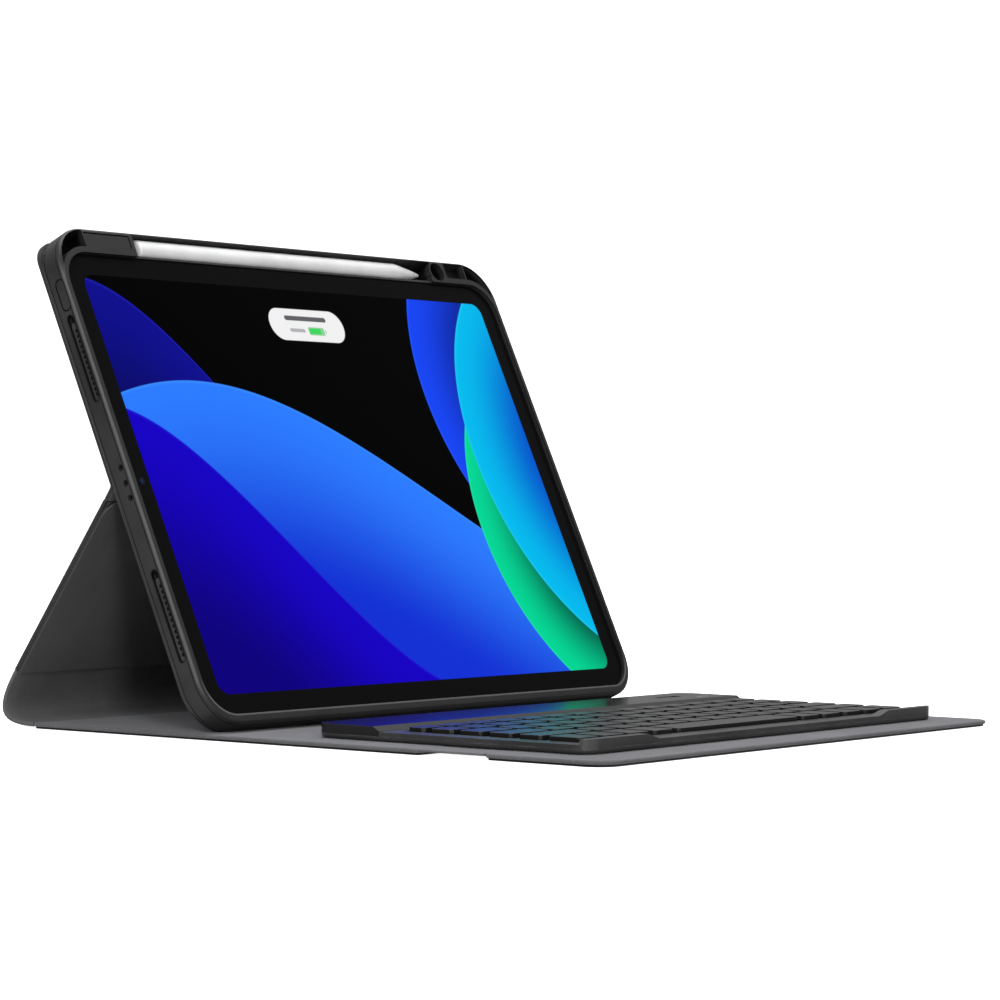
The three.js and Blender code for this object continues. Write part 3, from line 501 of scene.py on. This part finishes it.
# Darkened as painted shade in the gaps between the keys.
FILM_SHADED = gloss("membrane_film", (0.01, 0.01, 0.0105), 0.45)
BATTERY = gloss("battery_wrap", (0.06, 0.06, 0.075), 0.3)
CIRCUIT = gloss("circuit_laminate", (0.004, 0.012, 0.008), 0.4)
MESH = plastic("speaker_mesh", (0.045, 0.045, 0.046), 0.5)
# Painted shade for holes, gaps and recesses.
HOLE_SHADE = plastic("painted_hole_shade", SHADOW, 0.8, spec=0.1)


# ---------------------------------------------------------------- CAD nodes that stay

def even_normals(made, angle=40.0):
    """Splits sharp edges and lets each vertex follow its largest face, so flat faces shade flat."""
    split = made.modifiers.new("smooth", "EDGE_SPLIT")
    split.split_angle = math.radians(angle)
    even = made.modifiers.new("even", "WEIGHTED_NORMAL")
    even.mode = "FACE_AREA"
    even.weight = 100
    even.keep_sharp = True


def round_edges(made, width, segments, angle):
    rounding = made.modifiers.new("rounding", "BEVEL")
    rounding.width = width * MM
    rounding.segments = segments
    rounding.limit_method = "ANGLE"
    rounding.angle_limit = math.radians(angle)


def finish_node(name, material, bevel=None, segments=2, angle=40.0):
    """Gives a CAD node its material, smooth shading over its facets and edges rounded by bevel mm."""
    node = NODES[name]
    node.data.materials.clear()
    node.data.materials.append(material)
    weld = node.modifiers.new("weld", "WELD")
    weld.merge_threshold = 0.000002
    if bevel:
        round_edges(node, bevel, segments, 35.0)
    even_normals(node, angle)
    node.data.polygons.foreach_set("use_smooth", [True] * len(node.data.polygons))
    return node


for name in NODES:
    if name.endswith("_key") or name.endswith("_keys") or name == "space_bar":
        finish_node(name, KEYS, 0.14)
for name in ("power_button", "volume_up_button", "volume_down_button"):
    finish_node(name, BUTTON, 0.35, 3)
for name in ("base_board", "flap_board", "lower_back_board", "upper_back_board"):
    finish_node(name, BOARD)
for name in ("dock_magnet_left", "dock_magnet_right", "foot_magnet_strip", "flap_magnet",
             "keyboard_magnet_left", "keyboard_magnet_right"):
    finish_node(name, MAGNET, 0.1)
finish_node("tray_shell", TRAY, 0.12)
finish_node("power_switch", BUTTON, 0.2)
finish_node("tablet_housing", METAL)
finish_node("tablet_glass", SCREEN, angle=25.0)
finish_node("camera_island", CAMERA, 0.3)
finish_node("stylus_barrel", WHITE)
finish_node("stylus_tip", WHITE)
finish_node("keyboard_bottom_shell", DECK)
finish_node("keyboard_deck", DECK, angle=11.0)
finish_node("keyboard_rear_cover", BAR, angle=15.0)
finish_node("indicator_lens", LENS, 0.15)
finish_node("charge_port", PORT, 0.1)
finish_node("key_support_plate", SHEET_METAL_SHADED)
finish_node("key_membrane", FILM_SHADED)
finish_node("keyboard_battery", BATTERY, 0.3)
finish_node("circuit_board", CIRCUIT)
finish_node("upper_back_skin", COVER, 0.3)


# ---------------------------------------------------------------- mesh helpers

def linked_mesh(name, verts, faces, materials, kinds=None, merge=True):
    """A new smooth object with its faces turned outwards. kinds: each face's material, by number."""
    mesh = bpy.data.meshes.new(name)
    mesh.from_pydata([tuple(v) for v in verts], [], faces)
    for material in materials:
        mesh.materials.append(material)
    if kinds:
        mesh.polygons.foreach_set("material_index", kinds)
    bm = bmesh.new()
    bm.from_mesh(mesh)
    if merge:
        bmesh.ops.remove_doubles(bm, verts=bm.verts, dist=1e-7)
    bmesh.ops.recalc_face_normals(bm, faces=bm.faces)
    for face in bm.faces:
        face.smooth = True
    bm.to_mesh(mesh)
    bm.free()
    made = bpy.data.objects.new(name, mesh)
    bpy.context.scene.collection.objects.link(made)
    return made


def piece(name, verts, faces, material, body=None, slot=None, angle=40.0):
    made = linked_mesh(name, verts, faces, [material])
    even_normals(made, angle)
    if body:
        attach(made, body)
    return made


def ring_faces(rows, count, first=0, closed=False):
    """Faces between neighbouring rings of count points. closed: the last ring joins the first."""
    faces = []
    for row in range(rows if closed else rows - 1):
        a, b = first + row * count, first + (row + 1) % rows * count
        faces += [(a + i, a + (i + 1) % count, b + (i + 1) % count, b + i) for i in range(count)]
    return faces


def end_faces(rows, count, first=0):
    """Faces that close the first and the last of several rings."""
    last = first + (rows - 1) * count
    return [tuple(range(first, first + count)), tuple(range(last, last + count))]


def rounded(x0, y0, x1, y1, radii, steps=10):
    """inset -> a closed loop of (x, y) points. radii: near-left, near-right, far-right, far-left."""
    def loop(inset):
        corners = (
            (x0, y0, 1, 1, math.pi, radii[0]), (x1, y0, -1, 1, 1.5 * math.pi, radii[1]),
            (x1, y1, -1, -1, 0.0, radii[2]), (x0, y1, 1, -1, 0.5 * math.pi, radii[3]),
        )
        points = []
        for cx, cy, sx, sy, start, radius in corners:
            r = max(radius - inset, 0.02)
            mx, my = cx + sx * (inset + r), cy + sy * (inset + r)
            turns = [start + k / steps * math.pi / 2 for k in range(steps + 1)]
            points += [(mx + r * math.cos(turn), my + r * math.sin(turn)) for turn in turns]
        return points
    return loop


def panel(name, loop, stations, place, material, **rest):
    """A closed body from nested loops: stations are (inset, height) from one face's middle to the other's."""
    rings = [[place(x, y, height) for x, y in loop(inset)] for inset, height in stations]
    rows, count = len(rings), len(rings[0])
    verts = [point for ring in rings for point in ring]
    return piece(name, verts, ring_faces(rows, count) + end_faces(rows, count), material, **rest)


def band(centre_line, thick_in, thick_out):
    """The two faces of a sheet round a centre line of (y, z) points, offset to either side."""
    inner, outer = [], []
    last = len(centre_line) - 1
    for i, (y, z) in enumerate(centre_line):
        y0, z0 = centre_line[max(i - 1, 0)]
        y1, z1 = centre_line[min(i + 1, last)]
        size = math.hypot(y1 - y0, z1 - z0)
        ty, tz = (y1 - y0) / size, (z1 - z0) / size
        inner.append((y - tz * thick_in, z + ty * thick_in))
        outer.append((y + tz * thick_out, z - ty * thick_out))
    return inner, outer


def capped_strip(name, inner, outer, half, materials, columns=24):
    """A sheet with two faces of their own material: inner and outer are (y, z) lines of equal length."""
    count = len(inner)
    xs = [-half + 2 * half * k / columns for k in range(columns + 1)]
    verts = [flat(x, y, z) for x in xs for y, z in inner] + [flat(x, y, z) for x in xs for y, z in outer]
    layer = len(xs) * count
    faces, kinds = [], []
    for i in range(columns):
        for k in range(count - 1):
            a = i * count + k
            faces.append((a, a + 1, a + count + 1, a + count))
            kinds.append(0)
            faces.append((layer + a, layer + a + count, layer + a + count + 1, layer + a + 1))
            kinds.append(1)
        for k in (0, count - 1):
            a = i * count + k
            faces.append((a, a + count, layer + a + count, layer + a))
            kinds.append(1)
    for i in (0, columns):
        for k in range(count - 1):
            a = i * count + k
            faces.append((a, a + 1, layer + a + 1, layer + a))
            kinds.append(0)
    made = linked_mesh(name, verts, faces, materials, kinds, merge=False)
    round_edges(made, 0.28, 2, 50.0)
    return made


def bezier(p0, p1, p2, p3, steps):
    """Points of a cubic curve in the (y, z) plane."""
    line = []
    for k in range(steps + 1):
        t = k / steps
        a, b, c, d = (1 - t) ** 3, 3 * t * (1 - t) ** 2, 3 * t * t * (1 - t), t ** 3
        line.append(tuple(a * p0[i] + b * p1[i] + c * p2[i] + d * p3[i] for i in (0, 1)))
    return line


# ---------------------------------------------------------------- base panel and front flap

COVER_HALF = 124.2                         # mm, every panel's half width
BASE_FRONT, BASE_REAR = -58.0, 116.5
FLAP_FRONT, FLAP_REAR = -131.0, -84.5
base_loop = rounded(-COVER_HALF, BASE_FRONT, COVER_HALF, BASE_REAR, (1.5, 1.5, 1.5, 1.5))
flap_loop = rounded(-COVER_HALF, FLAP_FRONT, COVER_HALF, FLAP_REAR, (9.0, 9.0, 1.5, 1.5), steps=14)

# The leather below and the lining above, as (inset, height) in millimetres from the middle to the middle.
UNDER_EDGE = [(1.5, 0.0), (0.95, 0.06), (0.8, 0.3), (0.8, 0.85), (1.1, 1.05), (2.0, 1.1)]
LINING_EDGE = [
    (1.4, 0.72), (0.6, 0.76), (0.2, 0.92), (0.03, 1.2), (0.0, 1.5),
    (0.06, 1.8), (0.22, 2.03), (0.5, 2.16), (1.0, 2.2),
]
base_cover = panel("base_cover", base_loop, UNDER_EDGE, flat, COVER_SHADED, body="base", slot="cover_leather")
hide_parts("base_skin")
base_lining = panel(
    "base_lining_face", base_loop, LINING_EDGE, flat, LINING, body="base", slot="microfibre_lining",
)
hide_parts("base_lining")

flap_cover = panel("flap_cover", flap_loop, UNDER_EDGE, flat, COVER_SHADED, body="flap", slot="cover_leather")
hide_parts("flap_skin")
flap_lining = panel(
    "flap_lining_face", flap_loop, LINING_EDGE, flat, LINING, body="flap", slot="microfibre_lining",
)
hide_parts("flap_lining")


# The soft fold in front of the base panel: thin, sagging a little between its two stitched ends.
CREASE_STEPS = 24
crease_inner, crease_outer = [], []
for k in range(CREASE_STEPS + 1):
    share = k / CREASE_STEPS
    y = FLAP_REAR - 0.1 + (BASE_FRONT - FLAP_REAR + 0.2) * share
    dip = math.sin(math.pi * share)
    crease_inner.append((y, 2.14 - 0.06 * dip))
    crease_outer.append((y, 1.32 - 0.02 * dip))
flap_crease = capped_strip("flap_crease", crease_inner, crease_outer, COVER_HALF - 0.1, (LINING, COVER))
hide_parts("flap_crease_strip")
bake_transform(flap_crease)

# ---------------------------------------------------------------- spine and lower back panel

BACK_TOP, BACK_BOTTOM = -2.0, -78.3        # mm up the panel from the fold
BACK_THICK = 2.8
SPINE_END = (116.2, 0.75)                  # mm, y and z where the spine meets the base panel
PULL_TOP, PULL_END = 19.2, 17.0            # mm, how strongly each end of the curve keeps its direction

spine_top = back(0, BACK_BOTTOM + 0.6, BACK_THICK - 0.05) / MM
spine_line = bezier(
    (spine_top.y, spine_top.z),
    (spine_top.y + math.sin(BACK_LEAN) * PULL_TOP, spine_top.z - math.cos(BACK_LEAN) * PULL_TOP),
    (SPINE_END[0] + PULL_END, SPINE_END[1]),
    SPINE_END, 48,
)
spine_line.reverse()
spine_inner, spine_outer = band(spine_line, thick_in=1.45, thick_out=0.0)
spine = capped_strip("spine", spine_inner, spine_outer, COVER_HALF - 0.3, (SPINE_LINING_SHADED, COVER), columns=30)
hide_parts("spine_strip")
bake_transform(spine)

# Lower back panel: leather outside and round its edges, a stiff pad with round upper corners inside.
back_loop = rounded(-COVER_HALF, BACK_BOTTOM, COVER_HALF, BACK_TOP, (0.6, 0.6, 2.5, 2.5), steps=8)
back_cover = panel(
    "lower_back_cover", back_loop,
    [(1.35, 0.42), (1.2, 0.5), (1.12, 1.3), (0.3, 1.3), (0.08, 1.4), (0.0, 1.7), (0.0, 2.3), (0.15, 2.65),
     (0.6, BACK_THICK)],
    back, COVER, body="lower_back", slot="cover_leather",
)
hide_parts("lower_back_skin")
PAD_HALF = COVER_HALF - 0.2
pad_loop = rounded(-PAD_HALF, BACK_BOTTOM, PAD_HALF, BACK_TOP - 0.6, (0.6, 0.6, 7.5, 7.5), steps=12)
back_pad = panel(
    "lower_back_pad", pad_loop,
    [(0.4, 1.4), (0.1, 1.38), (0.0, 1.25), (0.0, 0.34), (0.06, 0.16), (0.2, 0.05), (0.5, 0.0)],
    back, INNER, body="lower_back", slot="microfibre_lining",
)
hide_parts("lower_back_lining")

# The soft fold behind the tray, from the lower back panel's top edge to the cover panel on the tray.
fold_low = back(0, BACK_TOP - 1.2, 1.5) / MM
fold_high = tray(0, 83.0, 9.0) / MM
fold_line = bezier(
    (fold_low.y, fold_low.z),
    (fold_low.y - 0.8, fold_low.z + 1.6),
    (fold_high.y - 0.6, fold_high.z - 1.6),
    (fold_high.y, fold_high.z), 16,
)
fold_inner, fold_outer = band(fold_line, thick_in=0.9, thick_out=1.2)
mid_fold = capped_strip("middle_fold", fold_inner, fold_outer, COVER_HALF - 0.3, (INNER, COVER), columns=20)
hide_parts("mid_crease_strip")
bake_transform(mid_fold)

# ---------------------------------------------------------------- details on the tablet and tray

def beads(name, places, half_long, half_wide, depth, place, material):
    """A row of small pills on the tray, joined in one piece."""
    steps = 6
    straight = half_long - half_wide
    verts, faces = [], []
    for a, b in places:
        outline = []
        for side in (1, -1):
            for k in range(steps + 1):
                turn = side * math.pi / 2 * (2 * k / steps - 1)
                along = side * (straight + half_wide * math.cos(turn))
                outline.append((a + along, b + half_wide * math.sin(turn)))
        count = len(outline)
        faces += ring_faces(2, count, len(verts)) + end_faces(2, count, len(verts))
        for height in (-depth, depth):
            verts += [place(p, q, height) for p, q in outline]
    return piece(name, verts, faces, material, body="tray", slot="tray_plastic")


def turned(name, x, u, profile, material, slot, sides=40):
    """A body on the tablet, turned round an axis square to the glass, from (radius, depth) points."""
    verts = []
    for radius, depth in profile:
        turns = [2 * math.pi * k / sides for k in range(sides)]
        verts += [tray(x + radius * math.cos(turn), u + radius * math.sin(turn), depth) for turn in turns]
    faces = ring_faces(len(profile), sides) + end_faces(len(profile), sides)
    return piece(name, verts, faces, material, body="tablet", slot=slot, angle=30.0)


def hoop(name, outlines):
    """A closed ring of painted shade on the tray: each outline joins the next, and the last joins the first.
    """
    verts = [point for outline in outlines for point in outline]
    faces = ring_faces(len(outlines), len(outlines[0]), closed=True)
    return piece(name, verts, faces, HOLE_SHADE, body="tray", slot="tray_plastic")


CAMERA_FACE = 8.1                          # mm behind the glass: the camera window's outer face
CAMERAS = (("wide", -107.6, 152.1, 5.4), ("near", -107.6, 139.9, 5.4), ("lidar", -95.4, 139.9, 3.2))


def camera_profile(*points):
    """Points of (radius, height over the window's face) as points of (radius, depth)."""
    return [(radius, CAMERA_FACE + height) for radius, height in points]


for name, x, u, radius in CAMERAS:
    rim = camera_profile(
        (radius, -0.4), (radius, 0.35), (radius - 0.25, 0.6), (radius - 0.8, 0.6), (radius - 0.95, 0.25),
        (radius - 0.95, -0.4),
    )
    turned(f"camera_rim_{name}", x, u, rim, METAL, "tablet_metal")
    inner = radius - 1.0
    glass = camera_profile((inner, -0.4), (inner, 0.2), (inner * 0.7, 0.36), (inner * 0.2, 0.42))
    turned(f"camera_lens_{name}", x, u, glass, CAMERA, "camera_glass")
flash = camera_profile((2.3, -0.3), (2.3, 0.12), (2.1, 0.2))
turned("camera_flash", -95.4, 152.1, flash, LENS, "lens_clear")

WALL = 126.2                               # mm from the middle to the tray's side wall
MESH_FACE = 125.45                         # mm from the middle to the speaker meshes' outer face
MICROPHONE_FACE = 124.6
MICROPHONES = (74.15, 79.75, 85.55)        # mm up the tray
HOLES = 13


def wall_left(u, depth, height):
    return tray(-MESH_FACE - height, u, depth)


def wall_right(u, depth, height):
    return tray(MESH_FACE + height, u, depth)


def microphone_place(u, depth, height):
    return tray(-MICROPHONE_FACE - height, u, depth)


def sunk(place, below):
    return lambda u, depth, height: place(u, depth, height - below)


for side, place in (("left", wall_left), ("right", wall_right)):
    for level, (low, high) in SPEAKER_SPANS.items():
        middle, half = (low + high - 2.6) / 2, (high - low - 3.2) / 2
        beads(
            f"speaker_mesh_{side}_{level}", [(middle, 1.86)], half_long=half, half_wide=1.02, depth=0.2,
            place=sunk(place, 0.2), material=MESH,
        )
        # Dark pills of painted shade stand in for the speaker holes.
        spots = [(low + 2.6 + (high - low - 8.6) * k / (HOLES - 1), 1.3) for k in range(HOLES)]
        beads(
            f"speaker_holes_{side}_{level}", spots, half_long=0.75, half_wide=0.55, depth=0.03,
            place=place, material=HOLE_SHADE,
        )

# Painted shade in the gap round the power button: wide and narrow outline, at two heights below the wall's
# face.
gap_loop = rounded(146.2, -0.55, 158.2, 3.55, (2.05,) * 4, steps=8)
hoop("power_button_gap", [
    [tray(-WALL + sink, u, depth) for u, depth in gap_loop(inset)]
    for inset, sink in ((0.0, 0.3), (0.42, 0.3), (0.42, 0.8), (0.0, 0.8))
])

# Dark pills of painted shade stand in for the microphone holes.
for number, u in enumerate(MICROPHONES):
    beads(
        f"microphone_{number}", [(u, 1.3)], half_long=1.3, half_wide=1.0, depth=0.1,
        place=microphone_place, material=HOLE_SHADE,
    )

# A dark ring of painted shade fills the gap between the tablet's edge and the tray's wall.
GAP_SHADE_HALF, GAP_SHADE_LOW, GAP_SHADE_HIGH, GAP_SHADE_CORNER = 123.78, -7.88, 168.58, 12.78
gap_shade_loop = rounded(-GAP_SHADE_HALF, GAP_SHADE_LOW, GAP_SHADE_HALF, GAP_SHADE_HIGH, (GAP_SHADE_CORNER,) * 4, steps=12)
hoop("tablet_gap_shade", [
    [tray(x, u, depth) for x, u in gap_shade_loop(inset)]
    for inset, depth in ((0.0, 0.0), (0.26, 0.0), (0.26, 0.7), (0.0, 0.7))
])

# ---------------------------------------------------------------- camera, floor and light

CAMERA_AT = Vector((-0.9553, -0.7194, 0.0873))
AZIMUTH, ELEVATION, ROLL = math.radians(52.788), math.radians(-0.063), math.radians(0.382)
look = Vector((
    math.sin(AZIMUTH) * math.cos(ELEVATION), math.cos(AZIMUTH) * math.cos(ELEVATION), -math.sin(ELEVATION),
))
camera_data = bpy.data.cameras.new("camera")
camera_data.sensor_width = 36.0
camera_data.lens = 118.93
camera_data.shift_x = 0.00476
camera_data.shift_y = -0.01892
camera = bpy.data.objects.new("camera", camera_data)
camera.location = CAMERA_AT
camera.rotation_mode = "QUATERNION"
camera.rotation_quaternion = Quaternion(look, -ROLL) @ look.to_track_quat("-Z", "Y")
camera_data.clip_start, camera_data.clip_end = 0.05, 60.0
bpy.context.scene.collection.objects.link(camera)
bpy.context.scene.camera = camera


def stage_sheet():
    """A pale floor that curves up far behind the object."""
    near, far, half, high, radius, steps = -6.0, 2.2, 7.0, 6.0, 1.6, 16
    profile = [(near, 0.0), (far, 0.0)]
    for k in range(1, steps + 1):
        a = math.pi / 2 * k / steps
        profile.append((far + radius * math.sin(a), radius * (1 - math.cos(a))))
    profile.append((far + radius, high))
    along = Vector((look.x, look.y, 0)).normalized()
    across = Vector((along.y, -along.x, 0))
    verts = [
        along * r + across * side + Vector((0, 0, h - 0.00005)) for r, h in profile for side in (-half, half)
    ]
    faces = [(2 * k, 2 * k + 1, 2 * k + 3, 2 * k + 2) for k in range(len(profile) - 1)]
    g = Graph("studio_floor")
    tone = g.mix(g.ramp(g.noise(3.0, 2.0), 0.3, 0.7), (0.86, 0.86, 0.86), (0.88, 0.88, 0.88))
    material = g.shade(
        Base_Color=tone, Roughness=0.9, Specular_IOR_Level=0.0,
        Emission_Color=(1.0, 1.0, 1.0), Emission_Strength=0.95,
    )
    made = piece("studio_floor", verts, faces, material)
    made.visible_glossy = False
    made.visible_diffuse = False


stage_sheet()


def area_light(name, place, target, size, power, size_y=None):
    data = bpy.data.lights.new(name, "AREA")
    data.energy = power
    data.shape = "RECTANGLE"
    data.size = size
    data.size_y = size_y or size
    light = bpy.data.objects.new(name, data)
    light.location = place
    light.rotation_mode = "QUATERNION"
    light.rotation_quaternion = (Vector(target) - Vector(place)).to_track_quat("-Z", "Y")
    bpy.context.scene.collection.objects.link(light)
    return light


area_light("key_light", (-1.8, -0.5, 1.25), (0, 0, 0.05), size=0.9, power=16.0)
area_light("top_light", (0.4, 0.0, 1.85), (0, 0, 0), size=1.5, power=23.0)
area_light("front_strip", (-1.15, -1.25, 0.5), (0, 0, 0.05), size=0.12, power=8.0, size_y=1.0)
front_card = area_light(
    "front_card", (-0.25, -1.7, 0.15), (-0.05, -0.1, 0.0), size=2.6, power=7.0, size_y=0.5,
)
front_card.visible_diffuse = False

# Soft surroundings: pale overhead, dim at the horizon, a little light from below.
world = bpy.data.worlds.new("studio")
world.use_nodes = True
sky = world.node_tree
direction = sky.nodes.new("ShaderNodeTexCoord").outputs["Generated"]
parts = sky.nodes.new("ShaderNodeSeparateXYZ")
sky.links.new(direction, parts.inputs[0])
height = sky.nodes.new("ShaderNodeMapRange")
height.inputs["From Min"].default_value, height.inputs["From Max"].default_value = -1.0, 1.0
sky.links.new(parts.outputs[2], height.inputs[0])
blend = sky.nodes.new("ShaderNodeValToRGB")
sky.links.new(height.outputs[0], blend.inputs[0])
for place, level in ((0.0, 0.55), (0.46, 0.46), (0.5, 0.13), (0.62, 0.14), (1.0, 0.7)):
    stops = blend.color_ramp.elements
    stop = stops[0] if place == 0.0 else stops[-1] if place == 1.0 else stops.new(place)
    stop.color = (level, level, level, 1.0)
# A second, wide and faint glow stands behind the object, where its level faces mirror the room.
behind = sky.nodes.new("ShaderNodeVectorMath")
behind.operation = "DOT_PRODUCT"
sky.links.new(direction, behind.inputs[0])
behind.inputs[1].default_value = (0.8, 0.6, 0.0)
glow = sky.nodes.new("ShaderNodeMapRange")
for socket, number in zip(glow.inputs[1:5], (0.2, 0.95, 1.0, 2.1)):
    socket.default_value = number
sky.links.new(behind.outputs["Value"], glow.inputs[0])
background = sky.nodes["Background"]
sky.links.new(blend.outputs[0], background.inputs[0])
sky.links.new(glow.outputs[0], background.inputs[1])
bpy.context.scene.world = world
bpy.context.scene.view_settings.view_transform = "Standard"
